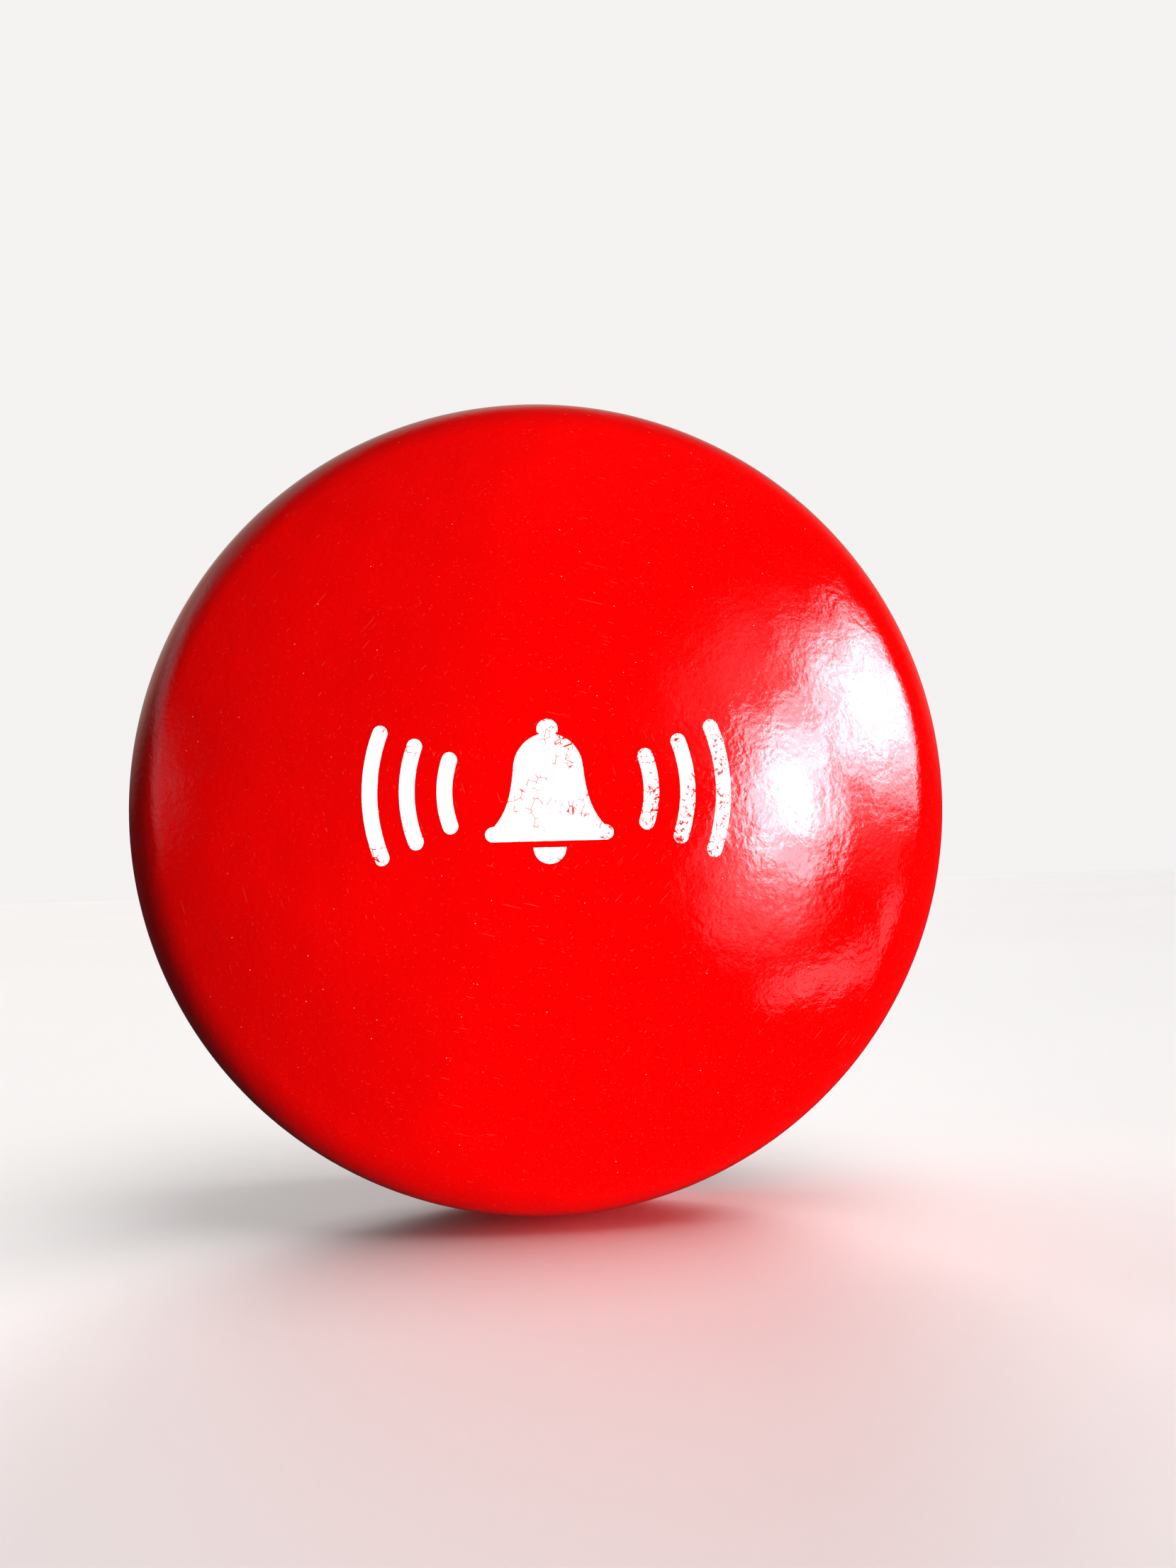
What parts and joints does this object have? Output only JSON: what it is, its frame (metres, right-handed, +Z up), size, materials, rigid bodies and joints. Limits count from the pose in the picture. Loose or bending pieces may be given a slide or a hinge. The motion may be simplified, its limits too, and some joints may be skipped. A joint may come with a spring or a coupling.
{
  "type": "fire alarm bell",
  "caption": "Round wall-mounted fire alarm bell: domed red steel gong over a moulded motor housing with spinning hammers.",
  "frame": {"origin": "centre of the mounting plate's rear face, on the wall and on the gong's axis", "axes": "+Z up the wall, +Y into the wall, the gong faces -Y, +X to the right for someone facing the bell"},
  "size_m": [0.1499, 0.0695, 0.15],
  "materials": {
    "red_paint": "gloss stoved paint over pressed steel",
    "red_plastic": "fine moulded texture",
    "zinc_steel": "bright zinc plating",
    "plain_steel": "turned or ground",
    "hardened_steel": "hardened, lightly oiled",
    "black_rubber": "moulded",
    "black_plastic": "moulded nylon",
    "white_plastic": "moulded nylon",
    "white_ink": "screen-printed ink on the gong",
    "bronze": "sintered, oil filled",
    "brass": "nickel-free stamped brass",
    "copper": "copper",
    "enamelled_copper": "enamelled copper wire",
    "ferrite": "sintered ferrite",
    "electrical_steel": "stacked laminations",
    "board_green": "solder mask over glass fibre",
    "terminal_green": "moulded polyamide",
    "capacitor_yellow": "cast epoxy box",
    "diode_black": "moulded epoxy",
    "lead_red": "PVC insulation",
    "lead_black": "PVC insulation"
  },
  "bodies": {
    "base": {"gong": "red_paint", "gong_boss": "plain_steel", "gong_isolator": "black_rubber", "centre_sleeve": "zinc_steel", "gong_bolt": "zinc_steel", "gong_flat_washer": "zinc_steel", "gong_spring_washer": "hardened_steel", "base_housing": "red_plastic", "mounting_plate": "zinc_steel", "locking_screws": "zinc_steel", "cable_grommet": "black_rubber", "motor_can": "plain_steel", "motor_end_cap": "white_plastic", "motor_bushes": "bronze", "motor_magnets": "ferrite", "motor_brushes": "brass", "motor_terminals": "brass", "motor_gasket": "black_rubber", "motor_screws": "zinc_steel", "circuit_board": "board_green", "circuit_board_screws": "zinc_steel", "terminal_block": "terminal_green", "terminal_clamps": "brass", "terminal_screws": "zinc_steel", "suppression_capacitor": "capacitor_yellow", "polarity_diode": "diode_black", "motor_lead_positive": "lead_red", "motor_lead_negative": "lead_black"},
    "rotor": {"motor_shaft": "hardened_steel", "motor_armature": "electrical_steel", "motor_windings": "enamelled_copper", "motor_commutator": "copper", "striker_carrier": "black_plastic", "hammer_pins": "hardened_steel", "hammer_washers": "zinc_steel", "hammer_clips": "hardened_steel"},
    "hammer_left": {"hammer_left": "zinc_steel"},
    "hammer_right": {"hammer_right": "zinc_steel"}
  },
  "joints": [
    {"name": "rotor_spin", "type": "hinge", "parent": "base", "child": "rotor", "pos_m": [0, -0.03915, -0.041], "axis": [0, -1, 0], "continuous": true},
    {"name": "hammer_left_swing", "type": "hinge", "parent": "rotor", "child": "hammer_left", "pos_m": [-0.017, -0.03915, -0.041], "axis": [0, -1, 0], "range_deg": [-223, 43]},
    {"name": "hammer_right_swing", "type": "hinge", "parent": "rotor", "child": "hammer_right", "pos_m": [0.017, -0.03915, -0.041], "axis": [0, -1, 0], "range_deg": [-43, 223]}
  ]
}
